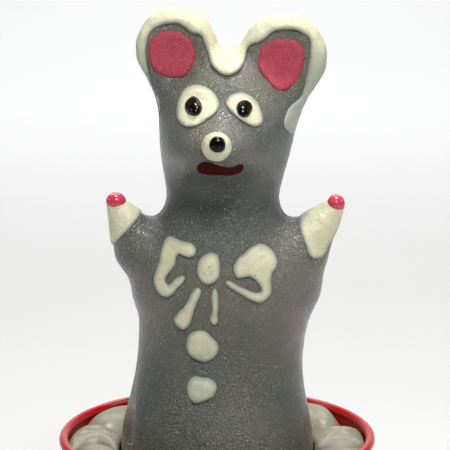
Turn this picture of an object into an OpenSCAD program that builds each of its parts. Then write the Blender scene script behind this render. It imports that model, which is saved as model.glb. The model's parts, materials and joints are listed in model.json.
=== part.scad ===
// Clockwork mouse: a moulded rubber mouse that turns and bobs out of a gathered vinyl collar
// in a red tin tub. A spring movement inside the tub drives the mouse's spindle.
// Millimetres, +Z up, origin on the table under the spindle. The mouse faces -Y.

/* [Tub] */
// Outside radius of the tin wall
tub_r = 50; // [49:0.5:52]
// Height of the rolled rim above the table
rim_z = 73.5; // [71:0.5:75]
// Thickness of the tin
tin = 0.8; // [0.6:0.1:1]
// Thickness of the fibreboard base
base_t = 4; // [4:0.5:4]

/* [Mouse] */
// Radius of the mouse's round base, where it stands in the collar
skirt_r = 31.2; // [30.5:0.1:31.4]
// Thickness of the moulded rubber
rubber_t = 3; // [2.5:0.1:3.2]
// How far the paint beads stand proud of the rubber
bead_t = 1.2; // [0.8:0.1:1.6]
// How far the mouse can be pressed down
bob_travel = 12; // [8:1:12]

/* [Movement] */
// Module of every gear
gear_m = 0.8; // [0.8:0.1:0.8]
// Teeth on each wheel
wheel_n = 30; // [30:1:30]
// Leaves on each pinion
pinion_n = 10; // [10:1:10]
// Teeth on the contrate wheel
contrate_n = 20; // [20:1:20]
// Leaves on the spindle pinion
spindle_n = 12; // [12:1:12]
// Inside distance from the spindle to each movement plate
plate_y = 11; // [11:0.5:11]

/* [Key] */
// Distance of the key's wings from the spindle
key_y = 66; // [64:1:70]
// Radius of each wing of the key
wing_r = 8; // [7:0.5:9]

/* [Hidden] */
$fn = 48;
slip = 0.05;                     // running clearance on a radius
fixed = 0.01;                    // clearance of a part pressed on a shaft

// Arbors of the movement, as [x, z]. They all run along Y.
wheel_rp = wheel_n * gear_m / 2;
pinion_rp = pinion_n * gear_m / 2;
centre_d = wheel_rp + pinion_rp;
third_dir = -20;                 // direction from the second arbor to the third
governor_dir = -40;              // direction from the third arbor to the governor
first_at = [0, base_t + wheel_rp + 1];
second_at = first_at + [0, centre_d];
third_at = second_at + centre_d * [cos(third_dir), sin(third_dir)];
governor_at = third_at + centre_d * [cos(governor_dir), sin(governor_dir)];

// Turn of each gear at rest, so that the teeth are in mesh
function mesh_turn(turn1, n1, n2, dir) =
    dir + 180 - 360 / n2 * (0.5 - (dir - turn1) * n1 / 360);
first_turn = 90;
second_turn = mesh_turn(first_turn, wheel_n, pinion_n, 90);
second_wheel_turn = third_dir;
third_turn = mesh_turn(second_wheel_turn, wheel_n, pinion_n, third_dir);
third_wheel_turn = governor_dir;
governor_turn = mesh_turn(third_wheel_turn, wheel_n, pinion_n, governor_dir);

// Pivot and arbor radii
pivot_r = 1;
wind_r = 2;
core_r = 2.4;                    // winding arbor inside the mainspring
spindle_r = 2;
plate_t = 1;
plate_top = 47;
bush_z = plate_top + 1.2;
seat_z = bush_z + 1.2;           // underside of the spring seat
seat_t = 2;
contrate_r = contrate_n * gear_m / 2;
spindle_rp = spindle_n * gear_m / 2;
spindle_gear_z = second_at[1] + contrate_r;
socket_z = 70;                   // underside of the socket's flange
socket_t = 4;
cavity_r = 27;
pin_z = 84;
spindle_top = 90;
skirt_z = 60;                    // bottom edge of the mouse

// Brake: a lever swings about a post and presses a pad on a drum
lever_at = [34, 21];
lever_z = governor_at[1];
drum_r = 5;
drum_y = 8.2;

// Colours
tin_red = [0.72, 0.02, 0.03];
fibre = [0.45, 0.33, 0.22];
vinyl = [0.62, 0.60, 0.52];
steel = [0.6, 0.61, 0.63];
brass = [0.78, 0.6, 0.28];
rubber_grey = [0.36, 0.36, 0.34];
cream = [0.88, 0.86, 0.72];
pink = [0.68, 0.17, 0.25];
black = [0.03, 0.03, 0.035];
mouth_red = [0.4, 0.02, 0.04];

// ---------- helpers ----------

// Places a drawing made in X and Y, extruded along Z, in the X-Z plane at arbor at,
// from y0 towards +Y. The drawing's Y becomes Z.
module on_arbor(at, y0, length) {
    translate([at[0], y0 + length, at[1]])
        rotate([90, 0, 0])
            children();
}

module rod(at, y0, y1, r) {
    on_arbor(at, y0, y1 - y0)
        cylinder(r = r, h = y1 - y0);
}

// Outline of a clock gear: radial flanks below the pitch circle and a tapered tip
function gear_outline(n, rp, add, ded, w_pitch, w_tip) = [
    for (i = [0 : n - 1], p = [
        [rp - ded, -w_pitch], [rp, -w_pitch], [rp + add, -w_tip],
        [rp + add, w_tip], [rp, w_pitch], [rp - ded, w_pitch]
    ])
        let (a = (i + p[1] / 2) * 360 / n)
            p[0] * [cos(a), sin(a)]
];

module wheel(at, y0, t, turn, bore) {
    on_arbor(at, y0, t)
        difference() {
            rotate(turn)
                linear_extrude(t)
                    polygon(gear_outline(wheel_n, wheel_rp, 0.8, 0.75, 0.44, 0.15));
            translate([0, 0, -1])
                cylinder(r = bore, h = t + 2);
            for (a = [0 : 72 : 359])
                rotate(turn + a)
                    translate([wheel_rp * 0.6, 0, -1])
                        cylinder(r = 2.2, h = t + 2);
        }
}

module pinion(at, y0, t, turn) {
    on_arbor(at, y0, t)
        difference() {
            rotate(turn)
                linear_extrude(t)
                    polygon(gear_outline(pinion_n, pinion_rp, 0.45, 1.05, 0.34, 0.2));
            translate([0, 0, -1])
                cylinder(r = pivot_r + fixed, h = t + 2);
        }
}

// ---------- tub ----------

module tub_wall() color(tin_red)
    difference() {
        union() {
            rotate_extrude($fn = 96)
                translate([tub_r - tin, 0])
                    square([tin, rim_z - 0.5]);
            for (bead = [[tub_r, rim_z - 1.5, 1.5], [tub_r - 0.3, 1.5, 1.5],
                         [tub_r - 0.3, 8, 1], [tub_r - 0.3, 63, 1]])
                rotate_extrude($fn = 96)
                    difference() {
                        translate([bead[0], bead[1]])
                            circle(r = bead[2], $fn = 24);
                        if (bead[1] < rim_z - 3)
                            translate([tub_r - tin - 3, bead[1] - 3])
                                square([3, 6]);
                    }
        }
        rod(first_at, tub_r - 8, tub_r + 4, 3.5 + fixed);
        translate([27, 28, lever_z - 1.6])
            cube([10, 22, 3.2]);
        for (a = [30 : 60 : 359])
            rotate(a)
                translate([0, 0, base_t / 2])
                    rotate([0, 90, 0])
                        translate([0, 0, tub_r - 4])
                            cylinder(r = 0.6 + fixed, h = 8, $fn = 16);
    }

module tub_base() color(fibre)
    difference() {
        cylinder(r = tub_r - tin - slip, h = base_t, $fn = 96);
        for (a = [30 : 60 : 359])
            rotate(a)
                translate([0, 0, base_t / 2])
                    rotate([0, 90, 0])
                        translate([0, 0, tub_r - 5])
                            cylinder(r = 0.6 + fixed, h = 8, $fn = 16);
        movement_screw_places()
            translate([0, 0, 1])
                cylinder(r = 1.2 + fixed, h = base_t);
        translate([lever_at[0], lever_at[1], 1])
            cylinder(r = 1.2 + fixed, h = base_t);
    }

module base_tacks() color(steel)
    for (a = [30 : 60 : 359])
        rotate(a)
            translate([0, 0, base_t / 2])
                rotate([0, 90, 0]) {
                    translate([0, 0, tub_r - 4.9])
                        cylinder(r = 0.6, h = 6.4, $fn = 16);
                    translate([0, 0, tub_r + 1.25])
                        cylinder(r1 = 1.4, r2 = 0.9, h = 0.6, $fn = 24);
                }

// The gathered vinyl round the mouse's base, as a plain ring
module collar() color(vinyl)
    rotate_extrude($fn = 64)
        polygon([
            [skirt_r + 1, 62], [skirt_r + 1, 71], [skirt_r + 2.5, 74], [39, 74.5],
            [44.5, 71.5], [tub_r - tin - 0.2, 67], [tub_r - tin - 0.2, 63],
            [43, 60], [37, 60]
        ]);

module collar_hoop() color(steel)
    rotate_extrude($fn = 96)
        translate([tub_r - tin - 1.2, 57])
            square([1, 5]);

module key_bush() color(brass)
    difference() {
        union() {
            rod(first_at, tub_r - 3, tub_r + 2.2, 3.5);
            rod(first_at, tub_r + 0.6, tub_r + 1.6, 5.5);
        }
        rod(first_at, tub_r - 5, tub_r + 5, wind_r + slip);
    }

// ---------- movement frame ----------

pillar_places = [[-13.5, 8.5], [33.5, 8.5], [-12, 42], [28, 36.5]];

module plate(y0) {
    on_arbor([0, 0], y0, plate_t)
        linear_extrude(plate_t)
            polygon([[-17, base_t], [41, base_t], [41, 28], [33, 41], [14, plate_top],
                     [-13, plate_top], [-17, 42]]);
}

module plate_bores() {
    span = 2 * plate_y + 6;
    for (at = [second_at, third_at, governor_at])
        rod(at, -span / 2, span / 2, pivot_r + slip);
    for (at = pillar_places)
        rod(at, -span / 2, span / 2, 0.8 + fixed);
}

module movement_screw_places()
    for (x = [-10, 26], side = [-1, 1])
        translate([x, side * (plate_y + 7), 0])
            children();

// Bent foot of a plate, lying on the base
module plate_foot(side)
    difference() {
        translate([-17, side > 0 ? plate_y + plate_t : -plate_y - plate_t - 10, base_t])
            cube([58, 10, plate_t]);
        movement_screw_places()
            cylinder(r = 1.2 + slip, h = 10);
        translate([lever_at[0], lever_at[1], 0])
            cylinder(r = 2.6, h = 10);
    }

module front_plate() color(steel)
    difference() {
        union() {
            plate(-plate_y - plate_t);
            plate_foot(-1);
        }
        plate_bores();
        rod(first_at, -plate_y - 3, -plate_y + 1, 1.5 + slip);
        rod([0, 41.5], -plate_y - 3, -plate_y + 1, 0.8 + fixed);
    }

module back_plate() color(steel)
    difference() {
        union() {
            plate(plate_y);
            plate_foot(1);
        }
        plate_bores();
        rod(first_at, plate_y - 1, plate_y + 3, wind_r + slip);
        translate([30, plate_y - 1, lever_z - 2.2])
            cube([9, 3, 4.4]);
    }

module pillars() color(brass)
    for (at = pillar_places)
        difference() {
            rod(at, -plate_y, plate_y, 1.5);
            rod(at, -plate_y - 1, -plate_y + 3.5, 0.8 + fixed);
            rod(at, plate_y - 3.5, plate_y + 1, 0.8 + fixed);
        }

// A slotted screw with its head's underside at z = 0 and its shank below
module slotted_screw(shank_r, shank_l, head_r, head_h)
    difference() {
        union() {
            translate([0, 0, -shank_l])
                cylinder(r = shank_r, h = shank_l + head_h / 2, $fn = 24);
            cylinder(r1 = head_r, r2 = head_r * 0.8, h = head_h, $fn = 32);
        }
        translate([-head_r, -0.25, head_h - 0.5])
            cube([2 * head_r, 0.5, 1]);
    }

module pillar_screws() color(steel)
    for (at = pillar_places, side = [-1, 1])
        translate([at[0], side * (plate_y + plate_t), at[1]])
            rotate([-side * 90, 0, 0])
                slotted_screw(0.8, plate_t + 3, 1.8, 1.1);

module movement_screws() color(steel)
    movement_screw_places()
        translate([0, 0, base_t + plate_t])
            slotted_screw(1.2, plate_t + 2.8, 2.4, 1.4);

module top_bridge() color(steel)
    difference() {
        translate([-8, -plate_y - plate_t, plate_top])
            cube([16, 2 * (plate_y + plate_t), bush_z - plate_top]);
        translate([0, 0, plate_top - 1])
            cylinder(r = 4 + fixed, h = 4);
    }

module spindle_bush() color(brass)
    difference() {
        union() {
            translate([0, 0, plate_top - 2])
                cylinder(r = 4, h = bush_z - plate_top + 2);
            translate([0, 0, bush_z])
                cylinder(r = 6, h = 1);
        }
        translate([0, 0, plate_top - 3])
            cylinder(r = spindle_r + slip, h = 8);
    }

// The spindle's lower bearing, an angle riveted to the front plate
module spindle_cock() color(steel)
    difference() {
        union() {
            translate([-4, -plate_y, spindle_gear_z - 2.7])
                cube([8, plate_y + 3.5, 1]);
            translate([-4, -plate_y, spindle_gear_z - 2.7])
                cube([8, 1, 6]);
            rod([0, 41.5], -plate_y - plate_t - 0.6, -plate_y + 1.6, 0.8);
        }
        translate([0, 0, spindle_gear_z - 4])
            cylinder(r = pivot_r + slip, h = 4);
    }

// Open mainspring. Its outer end hooks round the lower left pillar.
spring_turns = 6;
spring_in = core_r + 0.25;
spring_out = 10.8;
strip_t = 0.5;
hook_dir = atan2(pillar_places[0][1] - first_at[1], pillar_places[0][0] - first_at[0]);
hook_len = norm(pillar_places[0] - first_at);
function spiral(r_add) = [
    for (i = [0 : 24 * spring_turns])
        let (u = i / (24 * spring_turns))
            (spring_in + r_add + u * (spring_out - spring_in))
                * [cos(hook_dir + 360 * spring_turns * (u - 1)), sin(hook_dir + 360 * spring_turns * (u - 1))]
];

module mainspring() color([0.25, 0.3, 0.38])
    on_arbor(first_at, -3.5, 6.5)
        difference() {
            union() {
                linear_extrude(6.5)
                    polygon(concat(spiral(0), [for (i = [24 * spring_turns : -1 : 0]) spiral(strip_t)[i]]));
                rotate(hook_dir)
                    translate([spring_out, -strip_t, 0])
                        cube([hook_len - spring_out - 1, strip_t, 6.5]);
                rotate(hook_dir)
                    translate([hook_len, 0, 0])
                        cylinder(r = 2.1, h = 6.5);
            }
            rotate(hook_dir)
                translate([hook_len, 0, -1])
                    cylinder(r = 1.5 + slip, h = 9);
        }

module brake_post() color(brass) {
    translate([lever_at[0], lever_at[1], 1.2])
        cylinder(r = 1.2, h = lever_z - 0.4);
    translate([lever_at[0], lever_at[1], base_t])
        cylinder(r = 2.2, h = lever_z - base_t - 0.75);
    translate([lever_at[0], lever_at[1], lever_z + 0.7])
        cylinder(r = 2, h = 1);
}

// ---------- great wheel and winding ----------

click_r = 9.4;                   // distance of the click's pivot from the arbor
click_dir = 60;
ratchet_n = 12;
ratchet_r = 6;

module great_wheel() color(brass)
    difference() {
        wheel(first_at, -7.5, 1.5, first_turn, wind_r + slip);
        rod(first_at + click_r * [cos(click_dir), sin(click_dir)], -8, -5, 0.7 + fixed);
    }

// The click's nose rests against the steep flank of a tooth.
module click() color(steel)
    on_arbor(first_at, -5.95, 1.3)
        rotate(click_dir)
            difference() {
                union() {
                    translate([click_r, 0, 0])
                        cylinder(r = 1.5, h = 1.3);
                    linear_extrude(1.3)
                        polygon([[click_r + 1, -1.1], [click_r - 0.6, 1.3], [4.6, 3.9],
                                 [4.6, 2.75], [5.6, 2.95], [click_r - 1.4, -0.2]]);
                }
                translate([click_r, 0, -1])
                    cylinder(r = 0.7 + slip, h = 4);
            }

module click_rivet() color(brass)
    on_arbor(first_at + click_r * [cos(click_dir), sin(click_dir)], -7.9, 4) {
        cylinder(r = 0.7, h = 3.6);
        cylinder(r = 1.3, h = 0.65);
    }

// Teeth that climb anticlockwise, each with a radial back
function ratchet_outline() = [
    for (i = [0 : ratchet_n - 1], p = [[ratchet_r - 1.3, 0], [ratchet_r, 0.9], [ratchet_r - 1.3, 0.96]])
        let (a = (i + p[1]) * 360 / ratchet_n)
            p[0] * [cos(a), sin(a)]
];

module ratchet_wheel() color(steel)
    on_arbor(first_at, -5.9, 1.5)
        difference() {
            linear_extrude(1.5)
                polygon(ratchet_outline());
            translate([0, 0, -1])
                cylinder(r = wind_r + fixed, h = 4);
        }

module winding_arbor() color(steel) {
    rod(first_at, -plate_y - plate_t - 0.5, -plate_y + 0.2, 1.5);
    rod(first_at, -plate_y + 0.2, key_y - 8, wind_r);
    rod(first_at, -4.3, 3.6, core_r);
}

module winding_key() color(steel)
    difference() {
        union() {
            rod(first_at, key_y - 13, key_y - 4, 3.6);
            translate([0, 0, first_at[1] - 1])
                linear_extrude(2) {
                    for (side = [-1, 1])
                        translate([side * wing_r * 1.2, key_y])
                            circle(r = wing_r);
                    translate([-wing_r, key_y - 4])
                        square([2 * wing_r, 8]);
                }
        }
        for (side = [-1, 1])
            translate([side * wing_r * 1.25, key_y, first_at[1] - 3])
                cylinder(r = wing_r * 0.42, h = 6);
        rod(first_at, key_y - 14, key_y - 8, wind_r + fixed);
    }

// ---------- train ----------

module arbor(at)
    rod(at, -plate_y - plate_t - 0.4, plate_y + plate_t + 0.4, pivot_r);

module second_arbor() color(steel) arbor(second_at);
module second_pinion() color(brass) pinion(second_at, -8, 2.5, second_turn);
module second_wheel() color(brass) wheel(second_at, 8, 1.2, second_wheel_turn, pivot_r + fixed);

module contrate_wheel() color(brass)
    difference() {
        union() {
            rod(second_at, spindle_rp + 0.95, spindle_rp + 2.1, contrate_r + 1);
            for (i = [0 : contrate_n - 1])
                translate([second_at[0], 0, second_at[1]])
                    rotate([0, i * 360 / contrate_n, 0])
                        translate([0, spindle_rp, contrate_r - 0.9])
                            linear_extrude(1.8)
                                polygon([[-0.5, 1.1], [-0.45, 0], [-0.25, -0.7],
                                         [0.25, -0.7], [0.45, 0], [0.5, 1.1]]);
        }
        rod(second_at, 0, plate_y, pivot_r + fixed);
    }

module third_arbor() color(steel) arbor(third_at);
module third_pinion() color(brass) pinion(third_at, 7.5, 2.2, third_turn);
module third_wheel() color(brass) wheel(third_at, -10, 1.2, third_wheel_turn, pivot_r + fixed);

module governor_arbor() color(steel) arbor(governor_at);
module governor_pinion() color(brass) pinion(governor_at, -10.4, 2.2, governor_turn);

module governor_fan() color(steel)
    on_arbor(governor_at, -5.5, 10)
        difference() {
            union() {
                cylinder(r = 2, h = 10);
                for (a = [0, 180])
                    rotate(a)
                        translate([1.5, -0.3, 0])
                            cube([6.5, 0.6, 10]);
            }
            translate([0, 0, -1])
                cylinder(r = pivot_r + fixed, h = 12);
        }

module brake_drum() color(brass)
    difference() {
        rod(governor_at, drum_y - 1.2, drum_y + 1.2, drum_r);
        rod(governor_at, drum_y - 3, drum_y + 3, pivot_r + fixed);
    }

module brake_lever() color(steel)
    translate([lever_at[0], lever_at[1], lever_z - 0.6])
        difference() {
            union() {
                cylinder(r = 3, h = 1.2);
                translate([-1.5, -13.5, 0])
                    cube([3, 13.5, 1.2]);
                translate([-1.5, -14, -1])
                    cube([1.4, 3, 3.2]);
                rotate(4)
                    translate([-1.5, 0, 0])
                        cube([3, 26.5, 1.2]);
            }
            translate([0, 0, -1])
                cylinder(r = 1.2 + slip, h = 4);
        }

module brake_knob() color(tin_red)
    translate([lever_at[0], lever_at[1], lever_z])
        rotate(4)
            difference() {
                translate([0, 28, 0])
                    rotate([90, 0, 0])
                        cylinder(r = 2.8, h = 5, center = true);
                translate([-1.5 - fixed, 24, -0.6 - fixed])
                    cube([3 + 2 * fixed, 2.5 + fixed, 1.2 + 2 * fixed]);
            }

// ---------- spindle ----------

module spindle() color(steel)
    difference() {
        union() {
            translate([0, 0, spindle_gear_z - 2.9])
                cylinder(r = pivot_r, h = 2);
            translate([0, 0, spindle_gear_z - 1.5])
                cylinder(r = spindle_r, h = spindle_top - spindle_gear_z + 1.5);
            translate([0, 0, seat_z])
                cylinder(r = 8, h = seat_t);
        }
        translate([-4, 0, pin_z])
            rotate([0, 90, 0])
                cylinder(r = 0.75 + fixed, h = 8, $fn = 24);
    }

module spindle_pinion() color(brass)
    translate([0, 0, spindle_gear_z - 1])
        difference() {
            rotate(90 - 180 / spindle_n)
                linear_extrude(2)
                    polygon(gear_outline(spindle_n, spindle_rp, 0.4, 1, 0.3, 0.16));
            translate([0, 0, -1])
                cylinder(r = spindle_r + fixed, h = 4);
        }

module cross_pin() color(steel)
    translate([-4.5, 0, pin_z])
        rotate([0, 90, 0])
            cylinder(r = 0.75, h = 9, $fn = 24);

// Coil spring between the spindle's seat and the mouse's socket
coil_r = 6.6;
coil_wire = 0.6;
coil_turns = 5;
function coil_ring(u) =
    let (a = 360 * coil_turns * u, z = coil_wire + u * (socket_z - seat_z - seat_t - 2 * coil_wire))
        [for (k = [0 : 5])
            let (r = coil_r + coil_wire * cos(60 * k))
                [r * cos(a), r * sin(a), seat_z + seat_t + z + coil_wire * sin(60 * k)]];
coil_steps = 16 * coil_turns;

module bob_spring() color(steel)
    polyhedron(
        points = [for (i = [0 : coil_steps], p = coil_ring(i / coil_steps)) p],
        faces = concat(
            [[for (k = [0 : 5]) k]],
            [for (i = [0 : coil_steps - 1], k = [0 : 5])
                [6 * i + k, 6 * i + 6 + k, 6 * i + 6 + (k + 1) % 6, 6 * i + (k + 1) % 6]],
            [[for (k = [5 : -1 : 0]) 6 * coil_steps + k]]
        )
    );

// ---------- mouse ----------

// Sections of the skin from the base to the crown: height, centre x, half width, half depth
sections = [
    [60, 0, 31.2, 31.2], [72, 0, 31.2, 31.2], [78, 0, 30.3, 29], [84, 0.2, 28.8, 26],
    [90, 0.4, 27.4, 23.2], [96, 0.8, 26.6, 21.4], [104, 1.4, 26.5, 20], [112, 2.4, 27.4, 19.8],
    [120, 3, 29.4, 20], [127, 3, 30.6, 19.8], [133, 2.6, 29.5, 19.4], [139, 1.6, 25, 18.4],
    [145, 1.6, 20.3, 17], [151, 1.9, 17.9, 16], [157, 2.2, 18.6, 16.6], [164, 2.6, 20, 18],
    [172, 3, 20.6, 18.4], [180, 3.4, 19.6, 17], [186, 3.6, 16.4, 14], [190, 3.6, 11.5, 10]
];
ring_n = 28;

// A closed skin through the sections, grown outwards by grow
module skin(grow, from = 0, to = len(sections) - 1) {
    last = to - from;
    polyhedron(
        points = [for (i = [from : to], k = [0 : ring_n - 1])
            let (s = sections[i], a = 360 * k / ring_n, scale_r = skirt_r / 31.2)
                [s[1] + (s[2] + grow) * (i < 2 ? scale_r : 1) * cos(a),
                 (s[3] + grow) * (i < 2 ? scale_r : 1) * sin(a),
                 s[0] + (i == len(sections) - 1 ? grow : 0)]],
        faces = concat(
            [[for (k = [0 : ring_n - 1]) k]],
            [for (i = [0 : last - 1], k = [0 : ring_n - 1])
                [ring_n * i + k, ring_n * (i + 1) + k,
                 ring_n * (i + 1) + (k + 1) % ring_n, ring_n * i + (k + 1) % ring_n]],
            [[for (k = [ring_n - 1 : -1 : 0]) ring_n * last + k]]
        )
    );
}

// Snout: a soft bump under the eyes
muzzle_at = [0.4, -13, 170];
muzzle_size = [14.5, 17, 9.5];
module muzzle(grow)
    translate(muzzle_at)
        scale((muzzle_size + grow * [1, 1, 1]) / 10)
            sphere(r = 10, $fn = 24);

// Ears: flat discs, left at the viewer's left
ears = [[-12.2, 2, 198.8, 12], [22.1, 2, 196, 12.1]];
brow = [3.8, 2, 186.6, 10.3];     // fills the gap between the ears
ear_t = 8;
module ear_lobe(at, grow)
    hull() {
        translate([at[0], at[1], at[2]])
            rotate([90, 0, 0])
                cylinder(r = at[3] + grow, h = ear_t - 3 + 2 * grow, center = true, $fn = 32);
        translate([at[0] * 0.35 + 3, at[1], 176])
            rotate([90, 0, 0])
                cylinder(r = 11 + grow, h = ear_t + 2 * grow, center = true, $fn = 24);
    }

module head_top(grow) {
    for (e = ears)
        ear_lobe(e, grow);
    hull()
        translate([brow[0], brow[1], brow[2]])
            rotate([90, 0, 0])
                cylinder(r = brow[3] + grow, h = ear_t + 2 * grow, center = true, $fn = 32);
}

// Arms: short stubs that point up, as [shoulder, its radius, tip, its radius]
arms = [
    [[-24.5, -3, 137], 9, [-31.8, -5, 149.4], 2.7],
    [[27.6, -3, 136.5], 9.3, [37.2, -5, 149], 2.7]
];
module arm(a, grow, share = 1)
    hull() {
        translate(a[0])
            sphere(r = a[1] + grow, $fn = 24);
        translate(a[0] + share * (a[2] - a[0]))
            sphere(r = a[1] + share * (a[3] - a[1]) + grow, $fn = 24);
    }

module mouse_form(grow) {
    skin(grow);
    muzzle(grow);
    head_top(grow);
    for (a = arms)
        arm(a, grow);
}

module mouse_body() color(rubber_grey)
    difference() {
        mouse_form(0);
        translate([0, 0, skirt_z - 1])
            cylinder(r = cavity_r, h = socket_z + socket_t + 1 - skirt_z, $fn = 64);
        intersection() {
            skin(-rubber_t, 1, len(sections) - 3);
            translate([0, 0, socket_z + socket_t])
                cylinder(r = cavity_r - 0.5, h = 150, $fn = 48);
        }
        socket_screw_places()
            cylinder(r = 0.8 + fixed, h = 10, $fn = 24);
    }

module socket_screw_places()
    for (a = [20 : 90 : 359])
        rotate([0, 0, a])
            translate([cavity_r - 4, 0, socket_z + socket_t / 2])
                rotate([0, 90, 0])
                    children();

// Round socket glued in the mouse. It slides on the spindle and its slot rides on the cross pin.
module spindle_socket() color(fibre)
    difference() {
        union() {
            translate([0, 0, socket_z])
                cylinder(r = cavity_r - fixed, h = socket_t, $fn = 64);
            translate([0, 0, socket_z])
                cylinder(r = 5, h = 38);
        }
        translate([0, 0, socket_z - 1])
            cylinder(r = spindle_r + slip, h = 35.5);
        translate([-6, -0.85, pin_z - 1])
            cube([12, 1.7, bob_travel + 2.5]);
        socket_screw_places()
            cylinder(r = 0.8 + fixed, h = 10, $fn = 24);
    }

module socket_screws() color(steel)
    socket_screw_places() {
        cylinder(r = 0.8, h = 7.6, $fn = 24);
    }

// A painted bead lies on the chest: the part of a grown skin that a drawing, made as the
// front view shows it, cuts out.
module chest_bead()
    difference() {
        intersection() {
            skin(bead_t, 3, 14);
            translate([0, -5, 0])
                rotate([90, 0, 0])
                    linear_extrude(40)
                        children();
        }
        skin(0, 2, 15);
    }

// A line of varying width, drawn as [x, z] points and their radii
module stroke(points, r)
    for (i = [0 : len(points) - 2])
        hull() {
            translate(points[i]) circle(r = r[i], $fn = 20);
            translate(points[i + 1]) circle(r = r[i + 1], $fn = 20);
        }

module ear_pad(at) color(pink)
    difference() {
        translate([at[0] - 1.7, at[1] - ear_t / 2 + 0.2, at[2]])
            rotate([90, 0, 0])
                cylinder(r1 = 7.6, r2 = 6.8, h = bead_t + 1, $fn = 32);
        ear_lobe(at, 0);
        skin(0, 15);
    }
module ear_pad_left() ear_pad(ears[0]);
module ear_pad_right() ear_pad(ears[1]);

// The cream edge round both ears, which dips to a tongue on the forehead
module ear_trim() color(cream)
    difference() {
        union() {
            head_top(0.9);
            hull()
                translate([3, -2, 196])
                    rotate([90, 0, 0])
                        cylinder(r = 6, h = 7.5, center = true, $fn = 24);
        }
        for (hole = ears)
            translate([hole[0] - 0.5, 0, hole[2] - 0.5])
                rotate([90, 0, 0])
                    cylinder(r = hole[3] - 2.6, h = 30, center = true, $fn = 40);
        translate([-30, -20, 140])
            cube([75, 40, 50]);
        mouse_form(0);
    }

module face_bead(at, size)
    difference() {
        translate(at)
            scale(size / 10)
                sphere(r = 10, $fn = 24);
        skin(0);
        muzzle(0);
    }

eye_left_at = [-5.7, -14, 183];
eye_right_at = [8.6, -14.2, 182];
nose_at = [0.1, -29.9, 172];
nose_r = 4.4;
module eye_left() color(cream) face_bead(eye_left_at, [6.7, 4.6, 6.1]);
module eye_right() color(cream) face_bead(eye_right_at, [5.8, 4.4, 5.2]);

// A ball cut off flat, back behind its centre
module dome(at, r, back)
    difference() {
        translate(at)
            sphere(r = r, $fn = 32);
        translate(at + [0, back, 0])
            rotate([-90, 0, 0])
                cylinder(r = 2 * r, h = 3 * r);
    }
module pupil_left() color(black) dome(eye_left_at + [-1.3, -3.2, 0.2], 2.7, -1.4);
module pupil_right() color(black) dome(eye_right_at + [0, -3.2, 0.4], 2.4, -1.25);
module nose_tip() color(black) dome(nose_at + [0.1, -3.6, 0.8], 2.35, -0.85);
module nose_bead() color(cream) dome(nose_at, nose_r, -0.2);

module mouth() color(mouth_red)
    difference() {
        intersection() {
            union() {
                skin(0.5, 13, 17);
                muzzle(0.5);
            }
            translate([0, -5, 0])
                rotate([90, 0, 0])
                    linear_extrude(40)
                        stroke([[-4.3, 164.2], [-1, 163], [3.5, 162.6], [6.5, 163.4], [8.2, 165.2]],
                               [1.7, 1.5, 1.2, 1, 0.7]);
        }
        skin(0);
        muzzle(0);
    }

paw_share = 0.35;                // where the paw's paint starts along the arm
module paw(a) color(cream)
    difference() {
        hull() {
            translate(a[0] + paw_share * (a[2] - a[0]))
                sphere(r = a[1] + paw_share * (a[3] - a[1]) + 0.7, $fn = 24);
            translate(a[2])
                sphere(r = a[3] + 0.7, $fn = 24);
        }
        mouse_form(0);
        claw_form(a);
    }
module claw_form(a)
    translate(a[2] + (a[2] - a[0]) * 0.12)
        sphere(r = a[3] + 0.2, $fn = 32);
module claw(a) color(pink)
    difference() {
        claw_form(a);
        arm(a, 0);
    }
module paw_left() paw(arms[0]);
module paw_right() paw(arms[1]);
module claw_left() claw(arms[0]);
module claw_right() claw(arms[1]);

// Bow and buttons, drawn as [x, z]
module bow_left() color(cream)
    chest_bead()
        stroke([[-8.6, 137.3], [-13.6, 139.2], [-16.8, 134.6], [-17.6, 129], [-15.4, 125.2],
                [-10.3, 129.8]],
               [1.9, 1.6, 2.2, 1.9, 1.9, 0.9]);
module bow_right() color(cream)
    chest_bead()
        stroke([[6.8, 132.2], [12.5, 134.7], [15.7, 131], [15.6, 126], [13.2, 122.7], [3.6, 128]],
               [1.8, 4.3, 3.4, 1.9, 1.8, 0.9]);
module bow_knot_and_tails() color(cream)
    chest_bead() {
        translate([-2.5, 132.5])
            scale([1, 1.36])
                circle(r = 3.6, $fn = 28);
        stroke([[-6, 125.2], [-10.2, 115.4]], [1, 2.2]);
        stroke([[-0.8, 125.4], [-0.9, 115.8]], [1.2, 1.3]);
    }
module buttons() color(cream)
    chest_bead() {
        translate([-4.5, 107.6])
            circle(r = 5, $fn = 28);
        translate([-4.9, 93.9])
            circle(r = 4.4, $fn = 28);
    }

// ---------- nodes ----------

tub_wall();
tub_base();
base_tacks();
collar();
collar_hoop();
key_bush();
front_plate();
back_plate();
pillars();
pillar_screws();
movement_screws();
top_bridge();
spindle_bush();
spindle_cock();
mainspring();
brake_post();
great_wheel();
click();
click_rivet();
winding_arbor();
ratchet_wheel();
winding_key();
second_arbor();
second_pinion();
second_wheel();
contrate_wheel();
third_arbor();
third_pinion();
third_wheel();
governor_arbor();
governor_pinion();
governor_fan();
brake_drum();
brake_lever();
brake_knob();
spindle();
spindle_pinion();
cross_pin();
bob_spring();
mouse_body();
spindle_socket();
socket_screws();
ear_trim();
ear_pad_left();
ear_pad_right();
eye_left();
eye_right();
pupil_left();
pupil_right();
nose_bead();
nose_tip();
mouth();
paw_left();
paw_right();
claw_left();
claw_right();
bow_left();
bow_right();
bow_knot_and_tails();
buttons();
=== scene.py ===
"""Looks of the clockwork mouse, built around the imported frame.

Shapes are worked out in millimetres as distance fields on a grid, turned into meshes, and placed
in metres in the frame's own axes: the mouse faces -Y and stands on Z = 0.
"""
import json
import math

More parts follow.
